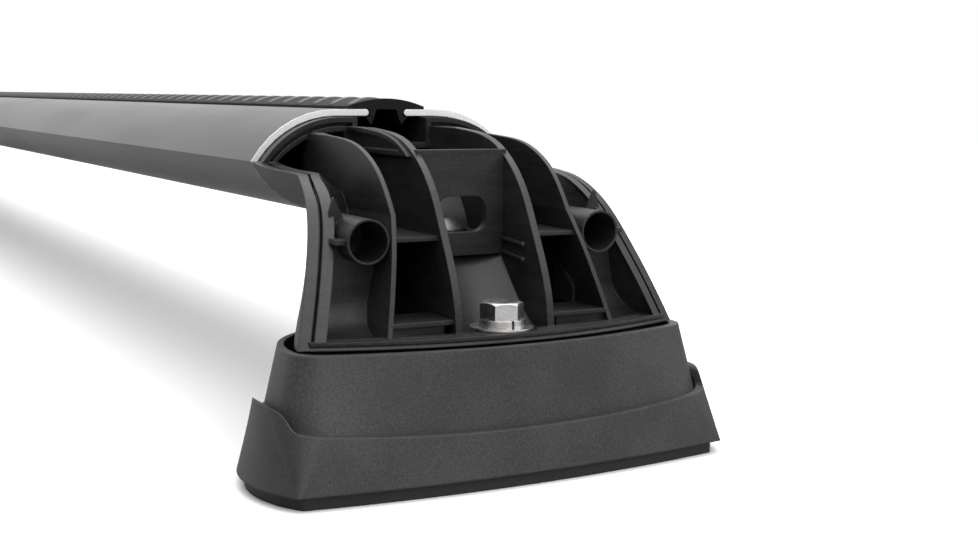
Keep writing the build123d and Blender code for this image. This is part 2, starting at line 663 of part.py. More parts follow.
def main():
    """Build every piece, place the legs at both ends and write the files."""
    os.makedirs("parts", exist_ok=True)
    near = Pos(bolt_x, 0, 0)
    far = Rot(0, 0, 180) * near
    export_step(bar(), "parts/bar.step")
    export_step(top_strip(), "parts/top_strip.step")
    for name, make in PARTS.items():
        piece = make()
        export_step(near * piece, f"parts/near_{name}.step")
        export_step(far * piece, f"parts/far_{name}.step")
    export_step(far * cover(), "parts/far_cover.step")


if __name__ == "__main__":
    main()
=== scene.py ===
import logging
import math
from dataclasses import dataclass
from enum import Enum
from typing import Any

import bmesh
import bpy
from mathutils import Matrix, Vector


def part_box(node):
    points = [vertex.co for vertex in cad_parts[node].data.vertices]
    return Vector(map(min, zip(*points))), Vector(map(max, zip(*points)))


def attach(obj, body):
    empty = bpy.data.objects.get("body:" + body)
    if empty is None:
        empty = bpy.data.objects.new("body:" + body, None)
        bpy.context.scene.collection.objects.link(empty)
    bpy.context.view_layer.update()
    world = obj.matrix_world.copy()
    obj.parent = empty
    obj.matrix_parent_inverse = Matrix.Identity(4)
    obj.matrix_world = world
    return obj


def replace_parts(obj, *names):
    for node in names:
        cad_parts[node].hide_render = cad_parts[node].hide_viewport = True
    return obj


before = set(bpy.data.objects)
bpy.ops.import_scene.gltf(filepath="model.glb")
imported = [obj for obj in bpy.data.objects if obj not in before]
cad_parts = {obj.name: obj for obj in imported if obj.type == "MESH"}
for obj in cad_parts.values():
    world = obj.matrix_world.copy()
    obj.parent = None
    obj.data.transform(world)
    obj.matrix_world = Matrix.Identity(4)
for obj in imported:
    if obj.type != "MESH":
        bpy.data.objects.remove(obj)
log = logging.getLogger("roof_rack")
MM = 0.001
WELD = 0.001 * MM
Colour = tuple[float, float, float, float]
Triple = tuple[float, float, float]
Pair = tuple[float, float]


class Slot(Enum):
    """Material slots of the record."""

    BAR = "bar"
    STRIP = "strip"
    LEG = "leg"
    FOOT = "foot"
    GASKET = "gasket"
    PLATED = "plated"
    STEEL = "steel"


class Side(Enum):
    """The two legs, with the way that points outboard along the bar."""

    NEAR = 1
    FAR = -1

    def node(self, name: str) -> str:
        """Name a CAD node on this side.

        Args:
            name: The node's name without its side.

        Returns:
            The full name.
        """
        return f"{self.name.lower()}_{name}"


class Body(Enum):
    """Body of the record that the added pieces ride on."""

    RACK = "rack"


class Flow:
    """A value in a node tree, with the operators that finishes and pieces use."""

    def __init__(self, graph: "Graph", socket: bpy.types.NodeSocket) -> None:
        """Wrap one output socket.

        Args:
            graph: The tree that holds it.
            socket: The output.
        """
        self.graph = graph
        self.socket = socket

    def _math(self, operation: str, first: Any, second: Any) -> "Flow":
        """Add one Math node.

        Args:
            operation: The Math node's operation.
            first: Value or flow for its first socket.
            second: Value or flow for its second socket.

        Returns:
            The node's result.
        """
        node = self.graph.node("ShaderNodeMath", {"operation": operation}, {0: first, 1: second})
        return Flow(self.graph, node.outputs[0])

    def __add__(self, other: Any) -> "Flow":
        """Add a value.

        Args:
            other: Number or flow.

        Returns:
            The sum.
        """
        return self._math("ADD", self, other)

    def __sub__(self, other: Any) -> "Flow":
        """Take a value away.

        Args:
            other: Number or flow.

        Returns:
            The difference.
        """
        return self._math("SUBTRACT", self, other)

    def __rsub__(self, other: Any) -> "Flow":
        """Take this flow from a number.

        Args:
            other: The number.

        Returns:
            The difference.
        """
        return self._math("SUBTRACT", other, self)

    def __mul__(self, other: Any) -> "Flow":
        """Multiply by a value.

        Args:
            other: Number or flow.

        Returns:
            The product.
        """
        return self._math("MULTIPLY", self, other)

    def __abs__(self) -> "Flow":
        """Drop the sign.

        Returns:
            The size.
        """
        return self._math("ABSOLUTE", self, 0.0)

    __radd__ = __add__
    __rmul__ = __mul__

    def rise(self, low: float, high: float) -> "Flow":
        """Step smoothly from 0 to 1.

        Args:
            low: Value where the step starts.
            high: Value where it ends.

        Returns:
            The step.
        """
        node = self.graph.node(
            "ShaderNodeMapRange",
            {"interpolation_type": "SMOOTHSTEP"},
            {"Value": self, "From Min": low, "From Max": high},
        )
        return Flow(self.graph, node.outputs["Result"])


class Graph:
    """A node tree that is filled by one method."""

    def __init__(self, tree: bpy.types.NodeTree) -> None:
        """Keep the tree.

        Args:
            tree: The tree to fill.
        """
        self.tree = tree

    def feed(self, socket: bpy.types.NodeSocket, value: Any) -> None:
        """Set a socket's value, or link a flow to it.

        Args:
            socket: The input.
            value: Value or flow.
        """
        if isinstance(value, Flow):
            self.tree.links.new(value.socket, socket)
        else:
            socket.default_value = value

    def node(self, kind: str, settings: dict | None = None, sockets: dict | None = None) -> bpy.types.Node:
        """Add a node.

        Args:
            kind: The node's type.
            settings: Its properties, which are set first.
            sockets: Values or flows for its inputs, by name or index.

        Returns:
            The new node.
        """
        made = self.tree.nodes.new(kind)
        for key, value in (settings or {}).items():
            setattr(made, key, value)
        for key, value in (sockets or {}).items():
            self.feed(made.inputs[key], value)
        return made

    def flow(
        self, kind: str, output: str, settings: dict | None = None, sockets: dict | None = None
    ) -> Flow:
        """Add a node and give one of its outputs.

        Args:
            kind: The node's type.
            output: The output's name.
            settings: The node's properties, which are set first.
            sockets: Values or flows for its inputs, by name or index.

        Returns:
            The output as a flow.
        """
        return Flow(self, self.node(kind, settings, sockets).outputs[output])


class Paint(Graph):
    """A material under construction, with a principled shader."""

    def __init__(self, name: str) -> None:
        """Start an empty material.

        Args:
            name: The material's name.
        """
        self.material = bpy.data.materials.new(name)
        self.material.use_nodes = True
        super().__init__(self.material.node_tree)
        self.shader = self.tree.nodes["Principled BSDF"]
        self.place = self.flow("ShaderNodeTexCoord", "Object")

    def axis(self, name: str) -> Flow:
        """Read one coordinate of the surface.

        Args:
            name: X, Y or Z.

        Returns:
            The coordinate in metres.
        """
        return self.flow("ShaderNodeSeparateXYZ", name, None, {0: self.place})

    def noise(self, size: float, detail: float = 2.0, stretch: Triple = (1, 1, 1)) -> Flow:
        """Add cloudy variation.

        Args:
            size: Size of its blots in metres.
            detail: Finer octaves.
            stretch: Factors along the axes, above one for a finer grain that way.

        Returns:
            The value, from 0 to 1.
        """
        place = self.flow("ShaderNodeMapping", "Vector", None, {"Vector": self.place, "Scale": stretch})
        return self.flow("ShaderNodeTexNoise", "Fac", None, {
            "Vector": place, "Scale": 1 / size, "Detail": detail})

    def cells(self, size: float) -> Flow:
        """Add a pebbled grain.

        Args:
            size: Size of a pebble in metres.

        Returns:
            Distance to the nearest of scattered points.
        """
        return self.flow("ShaderNodeTexVoronoi", "Distance", None, {
            "Vector": self.place, "Scale": 1 / size})

    def blend(self, factor: Any, first: Any, second: Any) -> Flow:
        """Mix two colours.

        Args:
            factor: Share of the second colour.
            first: Colour or flow at 0.
            second: Colour or flow at 1.

        Returns:
            The mixed colour.
        """
        node = self.node("ShaderNodeMix", {"data_type": "RGBA"}, {0: factor, 6: first, 7: second})
        return Flow(self, node.outputs[2])

    def bump(self, height: Flow, depth: float, edge: float) -> None:
        """Give the surface a relief and softly rounded edges.

        Args:
            height: Relief from 0 to 1.
            depth: Its depth in metres.
            edge: Radius of the rounded edges in metres.
        """
        rounded = self.flow("ShaderNodeBevel", "Normal", {"samples": 4}, {"Radius": edge})
        relief = self.flow("ShaderNodeBump", "Normal", None, {
            "Strength": 1.0, "Distance": depth, "Height": height, "Normal": rounded})
        self.feed(self.shader.inputs["Normal"], relief)

    def set(self, **sockets: Any) -> bpy.types.Material:
        """Set or link the shader's sockets.

        Args:
            **sockets: Values or flows by socket name, with underscores for spaces.

        Returns:
            The material.
        """
        for key, value in sockets.items():
            self.feed(self.shader.inputs[key.replace("_", " ")], value)
        return self.material


def grey(value: float, warm: float = 0.0) -> Colour:
    """Mix a linear grey.

    Args:
        value: Its lightness.
        warm: Small share of red over blue.

    Returns:
        The colour.
    """
    return (value * (1 + warm), value, value * (1 - warm), 1.0)


@dataclass(frozen=True)
class Moulding:
    """Moulded plastic or rubber with a fine grain and faint flow streaks."""

    name: str
    dark: Colour
    light: Colour
    roughness: float
    spread: float
    grain: float
    depth: float
    edge: float
    gloss: float = 0.5
    streaky: float = 0.04
    cloudy: float = 0.35
    cloud: float = 18 * MM
    cloud_detail: float = 4.0
    streak: float = 1.2 * MM
    streak_run: Triple = (0.1, 0.06, 1.0)
    shade_range: Pair = (0.4, 0.62)
    pebbly: float = 0.4
    pebble_grains: float = 1.6

    def material(self) -> bpy.types.Material:
        """Build the material: clouded and streaked colour, patchy gloss and a pebbled grain.

        Returns:
            The material.
        """
        paint = Paint(self.name)
        clouds = paint.noise(self.cloud, self.cloud_detail)
        speckle = paint.noise(self.grain)
        streaks = paint.noise(self.streak, stretch=self.streak_run)
        speckled = 1 - self.cloudy - self.streaky
        shade = self.cloudy * clouds + speckled * speckle + self.streaky * streaks
        patches = (1 - self.streaky) * clouds + self.streaky * streaks
        pebbles = paint.cells(self.pebble_grains * self.grain)
        paint.bump((1 - self.pebbly) * speckle + self.pebbly * pebbles, self.depth, self.edge)
        return paint.set(
            Base_Color=paint.blend(shade.rise(*self.shade_range), self.dark, self.light),
            Roughness=self.roughness + self.spread * (patches - 0.5),
            Specular_IOR_Level=self.gloss,
        )


@dataclass(frozen=True)
class RidgedRubber:
    """Dark rubber whose raised ridges are painted lighter than the grooves between them: a painted
    highlight on the ridges and painted shade in the grooves.
    """

    name: str
    groove: Colour
    ridge: Colour
    half: float
    side_z: float
    crown: float
    relief: float
    grain: float = 0.5 * MM
    smear: float = 9 * MM
    smear_detail: float = 3.0
    # Heights, as shares of the relief, over which the painted ridge highlight fades in.
    highlight_range: Pair = (0.2, 0.8)
    groove_dust: float = 1.6
    ridge_shade: float = 0.7
    depth: float = 0.03 * MM
    edge: float = 0.15 * MM
    roughness: float = 0.62
    polish: float = 0.14
    spread: float = 0.1
    gloss: float = 0.15

    def material(self) -> bpy.types.Material:
        """Build the material: height over the strip's dome tells a ridge from a groove; the ridges get a
        painted highlight and the grooves painted shade.

        Returns:
            The material.
        """
        paint = Paint(self.name)
        share = paint.axis("Y") * (1 / self.half)
        height = paint.axis("Z") - self.side_z - self.crown * (1 - share * share)
        low, high = self.highlight_range
        # Painted highlight mask: high on the ridges and low in the grooves; it also makes the ridges less
        # rough.
        ridge_highlight_mask = height.rise(low * self.relief, high * self.relief)
        speckle = paint.noise(self.grain)
        smears = paint.noise(self.smear, self.smear_detail)
        # Painted shade: the grooves take the darker, speckled colour.
        dark = paint.blend(speckle, self.groove, grey(self.groove_dust * self.groove[1]))
        highlight_mottle = 0.5 * speckle + 0.5 * smears
        # Painted highlight: the ridges take the lighter, mottled colour.
        light = paint.blend(highlight_mottle, grey(self.ridge_shade * self.ridge[1]), self.ridge)
        paint.bump(speckle, self.depth, self.edge)
        return paint.set(
            Base_Color=paint.blend(ridge_highlight_mask, dark, light),
            Roughness=self.roughness - self.polish * ridge_highlight_mask + self.spread * (smears - 0.5),
            Specular_IOR_Level=self.gloss,
        )


@dataclass(frozen=True)
class PowderCoat:
    """Satin dark coat on an extrusion whose sawn ends are bare."""

    name: str
    coat: Colour
    dust: Colour
    bare: Colour
    bare_shade: Colour
    cut_x: float
    cut_depth: float = 0.2 * MM
    peel: float = 1.1 * MM
    saw: float = 0.35 * MM
    saw_run: Triple = (1.0, 1.0, 0.12)
    haze: float = 30 * MM
    haze_detail: float = 3.0
    haze_run: Triple = (0.25, 1.0, 1.0)
    haze_range: Pair = (0.4, 0.7)
    dusty: float = 0.5
    depth: float = 0.02 * MM
    edge: float = 0.25 * MM
    roughness: float = 0.3
    haze_roughness: float = 0.06
    cut_roughness: float = 0.2
    cut_metal: float = 0.7

    def material(self) -> bpy.types.Material:
        """Build the material: satin coat, faint orange peel and sawn metal at the ends.

        Returns:
            The material.
        """
        paint = Paint(self.name)
        cut = abs(paint.axis("X")).rise(self.cut_x - 2 * self.cut_depth, self.cut_x - self.cut_depth)
        saw = paint.noise(self.saw, stretch=self.saw_run)
        peel = paint.noise(self.peel)
        haze = paint.noise(self.haze, self.haze_detail, self.haze_run).rise(*self.haze_range)
        coat = paint.blend(self.dusty * haze, self.coat, self.dust)
        metal = paint.blend(saw, self.bare_shade, self.bare)
        paint.bump(peel * (1 - cut) + saw * cut, self.depth, self.edge)
        return paint.set(
            Base_Color=paint.blend(cut, coat, metal),
            Metallic=self.cut_metal * cut,
            Roughness=self.roughness + self.haze_roughness * haze + self.cut_roughness * cut,
        )


@dataclass(frozen=True)
class Plating:
    """Plated or plain steel hardware."""

    name: str
    bright: Colour
    dull: Colour
    roughness: float
    scratch: float
    tarnish: float = 3 * MM
    tarnish_detail: float = 3.0
    tarnish_range: Pair = (0.4, 0.75)
    tarnish_roughness: float = 0.12
    mark: float = 0.25 * MM
    mark_run: Triple = (0.3, 0.3, 3.0)
    mark_roughness: float = 0.06
    edge: float = 0.2 * MM

    def material(self) -> bpy.types.Material:
        """Build the material: bright metal with faint tarnish and turning marks.

        Returns:
            The material.
        """
        paint = Paint(self.name)
        tarnish = paint.noise(self.tarnish, self.tarnish_detail).rise(*self.tarnish_range)
        marks = paint.noise(self.mark, stretch=self.mark_run)
        paint.bump(marks, self.scratch, self.edge)
        tarnished = self.roughness + self.tarnish_roughness * tarnish
        return paint.set(
            Base_Color=paint.blend(tarnish, self.bright, self.dull),
            Metallic=1.0,
            Roughness=tarnished + self.mark_roughness * (marks - 0.5),
        )


# The strip's dome: its height at the sides, its crown in the middle and the ridges on top.
STRIP_RELIEF = 0.35 * MM
STRIP_EDGE = 0.8 * MM
STRIP_SIDE_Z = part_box("bar")[1].z + STRIP_EDGE
STRIP_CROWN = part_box("top_strip")[1].z - STRIP_RELIEF - STRIP_SIDE_Z

FINISHES: dict[Slot, Moulding | RidgedRubber | PowderCoat | Plating] = {
    Slot.BAR: PowderCoat(
        "satin_powder_coat", coat=grey(0.018), dust=grey(0.03), bare=grey(0.88, 0.02),
        bare_shade=grey(0.72, 0.02), cut_x=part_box("bar")[1].x),
    # Strip: the ridges are painted lighter as a highlight and the grooves painted darker as shade.
    Slot.STRIP: RidgedRubber(
        "strip_rubber", groove=grey(0.005), ridge=grey(0.09), half=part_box("top_strip")[1].y,
        side_z=STRIP_SIDE_Z, crown=STRIP_CROWN, relief=STRIP_RELIEF),
    Slot.LEG: Moulding(
        "glass_filled_nylon", dark=grey(0.008), light=grey(0.018), roughness=0.42, spread=0.2,
        grain=0.7 * MM, depth=0.02 * MM, edge=0.45 * MM, gloss=0.35, streaky=0.3),
    Slot.FOOT: Moulding(
        "grained_charcoal_plastic", dark=grey(0.012), light=grey(0.030), roughness=0.55, spread=0.15,
        grain=0.45 * MM, depth=0.05 * MM, edge=0.6 * MM),
    Slot.GASKET: Moulding(
        "gasket_rubber", dark=grey(0.010, 0.12), light=grey(0.019, 0.12), roughness=0.6, spread=0.2,
        grain=0.5 * MM, depth=0.03 * MM, edge=0.4 * MM),
    Slot.PLATED: Plating(
        "bright_zinc_plating", bright=grey(0.62, 0.01), dull=grey(0.45, 0.03), roughness=0.27,
        scratch=0.01 * MM),
    # Painted shade: the screws, nuts and sleeves are coloured darker than plain plated steel, standing in
    # for the shade inside the leg.
    Slot.STEEL: Plating(
        "steel_with_painted_shade", bright=grey(0.14), dull=grey(0.07, 0.03), roughness=0.4, scratch=0.02 * MM),
}


class Pattern(Graph):
    """A node tree that makes a repeated shape, with named sizes as its inputs."""

    def __init__(self, name: str, sizes: dict[str, float]) -> None:
        """Start an empty tree with one input for each size.

        Args:
            name: The tree's name.
            sizes: Its inputs and their values.
        """
        super().__init__(bpy.data.node_groups.new(name, "GeometryNodeTree"))
        self.name = name
        self.sizes = sizes
        self.keys: dict[str, str] = {}
        for key, value in sizes.items():
            socket = self.tree.interface.new_socket(key, in_out="INPUT", socket_type="NodeSocketFloat")
            socket.default_value = value
            self.keys[key] = socket.identifier
        self.tree.interface.new_socket("Geometry", in_out="OUTPUT", socket_type="NodeSocketGeometry")
        self.inlet = self.node("NodeGroupInput")

    def size(self, key: str) -> Flow:
        """Read one of the tree's named sizes.

        Args:
            key: The input's name.

        Returns:
            Its value.
        """
        return Flow(self, self.inlet.outputs[key])

    def vector(self, x: Any, y: Any, z: Any) -> Flow:
        """Join three values.

        Args:
            x: Value or flow along X.
            y: Value or flow along Y.
            z: Value or flow along Z.

        Returns:
            The vector.
        """
        return self.flow("ShaderNodeCombineXYZ", "Vector", None, {0: x, 1: y, 2: z})

    def along_bar(self, shape: Flow, count: int, start: Vector, step: Any) -> Flow:
        """Repeat a shape at even steps along the bar.

        Args:
            shape: The shape, about the origin.
            count: Number of copies.
            start: Place of the first copy.
            step: Distance along X from one to the next.

        Returns:
            The instances.
        """
        points = self.flow("GeometryNodeMeshLine", "Mesh", None, {
            "Count": count, "Start Location": start, "Offset": self.vector(step, 0.0, 0.0)})
        return self.flow("GeometryNodeInstanceOnPoints", "Instances", None, {
            "Points": points, "Instance": shape})

    def finish(self, shape: Flow, material: bpy.types.Material) -> bmesh.types.BMesh:
        """Close the tree, run it and give its result as an editable mesh.

        Args:
            shape: The repeated instances.
            material: Their finish.

        Returns:
            The realized mesh.
        """
        solid = self.flow("GeometryNodeRealizeInstances", "Geometry", None, {0: shape})
        dressed = self.flow("GeometryNodeSetMaterial", "Geometry", None, {
            "Geometry": solid, "Material": material})
        self.node("NodeGroupOutput", None, {0: dressed})
        carrier = bpy.data.objects.new(self.name, bpy.data.meshes.new(self.name))
        bpy.context.scene.collection.objects.link(carrier)
        modifier = carrier.modifiers.new(self.name, "NODES")
        modifier.node_group = self.tree
        for key, value in self.sizes.items():
            modifier[self.keys[key]] = value
        graph = bpy.context.evaluated_depsgraph_get()
        mesh = bpy.data.meshes.new_from_object(carrier.evaluated_get(graph))
        bpy.data.objects.remove(carrier)
        bm = bmesh.new()
        bm.from_mesh(mesh)
        bpy.data.meshes.remove(mesh)
        return bm


def prism(ends: list[list[Vector]]) -> bmesh.types.BMesh:
    """Close two matching outlines into a solid.

    Args:
        ends: Corners of the two outlines, in the same order.

    Returns:
        The mesh.
    """
    bm = bmesh.new()
    first, last = ([bm.verts.new(corner) for corner in corners] for corners in ends)
    count = len(first)
    for i in range(count):
        j = (i + 1) % count
        bm.faces.new((first[i], first[j], last[j], last[i]))
    for end in (first, last):
        bm.faces.new(end)
    return bm


def piece_from(bm: bmesh.types.BMesh, name: str, material: bpy.types.Material) -> bpy.types.Object:
    """Turn a mesh under construction into an object at the origin.

    Args:
        bm: The mesh, in the frame's metres; it is freed.
        name: The object's name.
        material: Its finish.

    Returns:
        The linked object.
    """
    bmesh.ops.remove_doubles(bm, verts=bm.verts, dist=WELD)
    bmesh.ops.recalc_face_normals(bm, faces=bm.faces)
    mesh = bpy.data.meshes.new(name)
    bm.to_mesh(mesh)
    bm.free()
    mesh.materials.clear()
    mesh.materials.append(material)
    piece = bpy.data.objects.new(name, mesh)
    bpy.context.scene.collection.objects.link(piece)
    return piece


@dataclass
class SubAssembly:
    """Pieces that belong together and take their finishes from one set."""

    materials: dict[Slot, bpy.types.Material]

    def dress(self, node: str, slot: Slot) -> None:
        """Give a CAD piece its finish.

        Args:
            node: The piece's node.
            slot: Slot of its finish.
        """
        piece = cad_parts[node]
        piece.data.materials.clear()
        piece.data.materials.append(self.materials[slot])
        log.info("dressed %s with %s", node, self.materials[slot].name)

    def add(self, bm: bmesh.types.BMesh, name: str, slot: Slot, crisp: float = 35.0) -> bpy.types.Object:
        """Turn a mesh under construction into a piece that rides on the rack.

        Args:
            bm: The mesh, in the frame's metres; it is freed.
            name: The piece's name.
            slot: Slot of its finish.
            crisp: Edges sharper than this many degrees stay crisp.

        Returns:
            The linked object.
        """
        piece = piece_from(bm, name, self.materials[slot])
        piece.data.shade_smooth()
        piece.data.set_sharp_from_angle(angle=math.radians(crisp))
        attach(piece, Body.RACK.value)
        log.info("built %s", name)
        return piece


@dataclass
class Crossbar(SubAssembly):
    """Bar and rubber strip: a domed band on two barbed legs, with slanted ridges."""

    pitch: float = 13.5 * MM
    ridge: float = 5.4 * MM
    sink: float = 0.5 * MM
    slant: float = 23.0 * MM
    side_margin: float = 0.3 * MM
    mouth: float = 10.8 * MM
    leg: float = 2.0 * MM
    barb: float = 1.2 * MM
    barb_top: float = 2.2 * MM
    barb_foot: float = 4.6 * MM
    arch: float = 0.5 * MM
    dome_steps: int = 24
    ridge_steps: int = 16
    ridge_sides: int = 6

    def __post_init__(self) -> None:
        """Read the strip's box and the bar's top from the frame."""
        self.low, self.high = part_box("top_strip")
        self.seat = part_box("bar")[1].z
        self.half = self.high.y

    def section(self) -> list[Pair]:
        """Draw the strip's outline: over the dome from left to right, then back along its legs.

        Returns:
            Its corners in Y and Z.
        """
        steps = range(self.dome_steps + 1)
        spans = [self.half * (2 * step / self.dome_steps - 1) for step in steps]
        dome = [(y, STRIP_EDGE + STRIP_CROWN * (1 - (y / self.half) ** 2)) for y in spans]
        out = self.mouth / 2
        inside = out - self.leg
        taper = self.leg / 4
        right = [
            (self.half, 0.0), (out, 0.0), (out, -self.barb_top), (out + self.barb, -self.barb_top),
            (out - taper, -self.barb_foot), (inside + taper, -self.barb_top),
            (inside, -self.arch), (inside - self.arch, 0.0),
        ]
        left = [(-y, z) for y, z in reversed(right)]
        return [(y, self.seat + z) for y, z in dome + right + left]

    def band(self) -> bmesh.types.BMesh:
        """Pull the strip's outline along the bar.

        Returns:
            The plain strip.
        """
        return prism([[Vector((x, y, z)) for y, z in self.section()] for x in (self.low.x, self.high.x)])

    def ridge_skin(self, pattern: Pattern, height: Flow) -> Flow:
        """Make one side of a ridge: a sheet over the dome, lifted by a height that fades to its edges.

        Args:
            pattern: The tree that it is made in.
            height: Height at the ridge's middle, negative for its underside.

        Returns:
            The sheet.
        """
        # The flat sheet runs from -1 to 1 both ways: u across the bar and v along it.
        grid = pattern.flow("GeometryNodeMeshGrid", "Mesh", None, {
            "Size X": 2.0, "Size Y": 2.0,
            "Vertices X": self.ridge_steps + 1, "Vertices Y": self.ridge_sides + 1})
        place = pattern.flow("GeometryNodeInputPosition", "Position")
        u, v = (pattern.flow("ShaderNodeSeparateXYZ", axis, None, {0: place}) for axis in "XY")
        y = u * pattern.size("Half Width")
        x = v * (0.5 * pattern.size("Ridge")) - u * (0.5 * pattern.size("Slant"))
        share = y * (1 / self.half)
        u_four, v_four = u * u * u * u, v * v * v * v
        fade = (1 - v_four) * (1 - u_four * u_four)
        z = STRIP_SIDE_Z + pattern.size("Crown") * (1 - share * share) + height * fade
        return pattern.flow("GeometryNodeSetPosition", "Geometry", None, {
            "Geometry": grid, "Position": pattern.vector(x, y, z)})

    def ridges(self) -> bmesh.types.BMesh:
        """Repeat slanted ridges over the dome along the bar, and cut them at its ends.

        Returns:
            The mesh of all ridges.
        """
        pattern = Pattern("strip_ridges", {
            "Pitch": self.pitch, "Slant": self.slant, "Ridge": self.ridge, "Rise": STRIP_RELIEF,
            "Sink": self.sink, "Half Width": self.half - self.side_margin, "Crown": STRIP_CROWN,
        })
        top = self.ridge_skin(pattern, pattern.size("Rise"))
        under = self.ridge_skin(pattern, -1 * pattern.size("Sink"))
        join = pattern.node("GeometryNodeJoinGeometry")
        for skin in (top, under):
            pattern.feed(join.inputs[0], skin)
        count = int((self.high.x - self.low.x + self.slant) / self.pitch)
        start = Vector((self.low.x - self.slant / 2, 0.0, 0.0))
        copies = pattern.along_bar(Flow(pattern, join.outputs[0]), count, start, pattern.size("Pitch"))
        bm = pattern.finish(copies, self.materials[Slot.STRIP])
        bmesh.ops.remove_doubles(bm, verts=bm.verts, dist=WELD)
        for end in (self.low.x, self.high.x):
            everything = list(bm.verts) + list(bm.edges) + list(bm.faces)
            bmesh.ops.bisect_plane(
                bm, geom=everything, plane_co=(end, 0, 0), plane_no=(end, 0, 0), clear_outer=True)
            bmesh.ops.holes_fill(bm, edges=[edge for edge in bm.edges if edge.is_boundary], sides=0)
        return bm

    def build(self) -> None:
        """Dress the bar, and make the ridged strip in place of the plain one."""
        self.dress("bar", Slot.BAR)
        self.dress("top_strip", Slot.STRIP)
        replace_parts(self.add(self.band(), "ridged_strip", Slot.STRIP), "top_strip")
        self.add(self.ridges(), "strip_ridges", Slot.STRIP)


@dataclass
class Leg(SubAssembly):
    """One leg moulding with its screws, and the snap pins and stiffening rib inside it."""

    side: Side
    pin_start: tuple[Pair, ...] = ((-22.7 * MM, 21.6 * MM), (-21.0 * MM, 18.0 * MM))
    pin_end: tuple[Pair, ...] = ((-10.2 * MM, 20.8 * MM), (-10.2 * MM, 16.8 * MM))
    pin_y: float = 12.0 * MM
    pin_radius: float = 0.55 * MM
    pin_tip: float = 0.8 * MM
    pin_sides: int = 10
    rib: tuple[Pair, ...] = (
        (-11.3 * MM, 4.0 * MM), (-11.5 * MM, 8.8 * MM), (-20.3 * MM, 15.9 * MM), (-21.6 * MM, 15.9 * MM),
        (-21.6 * MM, 4.0 * MM))
    rib_y: float = 28.9 * MM
    rib_wall: float = 0.9 * MM

    def place(self, x: float, y: float, height: float) -> Vector:
        """Find a point of the leg in the frame.

        Args:
            x: Distance outboard of the bolt.
            y: Distance across the bar.
            height: Height above the flat washer's seat.

        Returns:
            The point.
        """
        low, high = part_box(self.side.node("flat_washer"))
        turn = self.side.value
        return Vector(((low.x + high.x) / 2 + turn * x, turn * y, low.z + height))

    def pins(self) -> bmesh.types.BMesh:
        """Make two snap pins with round tips on the side of an inner rib.

        Returns:
            The mesh of both pins.
        """
        bm = bmesh.new()
        for start, end in zip(self.pin_start, self.pin_end):
            base, tip = (self.place(x, self.pin_y, height) for x, height in (start, end))
            run = tip - base
            turn = run.to_track_quat("Z", "Y").to_matrix().to_4x4()
            bmesh.ops.create_cone(
                bm, cap_ends=True, segments=self.pin_sides, depth=run.length,
                radius1=self.pin_radius, radius2=self.pin_radius,
                matrix=Matrix.Translation((base + tip) / 2) @ turn)
            bmesh.ops.create_uvsphere(
                bm, u_segments=self.pin_sides, v_segments=self.pin_sides, radius=self.pin_tip,
                matrix=Matrix.Translation(tip))
        return bm

    def stiffener(self) -> bmesh.types.BMesh:
        """Make the thin sloping rib that stands on the low step.

        Returns:
            The rib.
        """
        sides = (self.rib_y - self.rib_wall / 2, self.rib_y + self.rib_wall / 2)
        return prism([[self.place(x, y, height) for x, height in self.rib] for y in sides])

    def build(self) -> None:
        """Dress the leg and its screws, and add the small mouldings inside it."""
        self.dress(self.side.node("leg"), Slot.LEG)
        for name in ("leg_screw", "leg_nut", "spigot_screws"):
            self.dress(self.side.node(name), Slot.STEEL)
        self.add(self.pins(), self.side.node("snap_pins"), Slot.LEG)
        self.add(self.stiffener(), self.side.node("stiffener"), Slot.LEG)


@dataclass
class Foot(SubAssembly):
    """Skirt, base pad and gasket of one leg."""

    side: Side

    def build(self) -> None:
        """Dress the foot's pieces."""
        self.dress(self.side.node("skirt"), Slot.FOOT)
        self.dress(self.side.node("base_pad"), Slot.FOOT)
        self.dress(self.side.node("gasket"), Slot.GASKET)


@dataclass
class RoofBolts(SubAssembly):
    """Mounting bolts with their washers and sleeves, and the thread below the gaskets."""

    pitch: float = 1.0 * MM
    ridge: float = 0.36 * MM
    core: float = 2.62 * MM
    top_gap: float = 0.8 * MM
    tip_gap: float = 1.2 * MM
    turn_steps: int = 20
    tooth_sides: int = 4
    crisp: float = 30.0

    def thread(self) -> bmesh.types.BMesh:
        """Wind a ridge round the free end of both bolts.

        Returns:
            The mesh of both threads.
        """
        low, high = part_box(Side.NEAR.node("mount_bolt"))
        far_low, far_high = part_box(Side.FAR.node("mount_bolt"))
        foot = low.z + self.tip_gap
        length = -self.top_gap - foot
        pattern = Pattern("bolt_thread", {
            "Turns": length / self.pitch, "Ridge": self.ridge, "Radius": self.core, "Length": length,
            "Spacing": (far_low.x + far_high.x - low.x - high.x) / 2,
        })
        helix = pattern.flow("GeometryNodeCurveSpiral", "Curve", None, {
            "Resolution": self.turn_steps, "Rotations": pattern.size("Turns"),
            "Start Radius": pattern.size("Radius"), "End Radius": pattern.size("Radius"),
            "Height": pattern.size("Length")})
        tooth = pattern.flow("GeometryNodeCurvePrimitiveCircle", "Curve", None, {
            "Resolution": self.tooth_sides, "Radius": pattern.size("Ridge")})
        ridge = pattern.flow("GeometryNodeCurveToMesh", "Mesh", None, {
            "Curve": helix, "Profile Curve": tooth, "Fill Caps": True})
        start = Vector(((low.x + high.x) / 2, 0.0, foot))
        copies = pattern.along_bar(ridge, len(Side), start, pattern.size("Spacing"))
        return pattern.finish(copies, self.materials[Slot.PLATED])

    def build(self) -> None:
        """Dress the bolts, washers and sleeves, and wind the thread."""
        for side in Side:
            for name in ("mount_bolt", "spring_washer", "flat_washer"):
                self.dress(side.node(name), Slot.PLATED)
            self.dress(side.node("bolt_sleeve"), Slot.STEEL)
        self.add(self.thread(), "bolt_threads", Slot.PLATED, self.crisp)


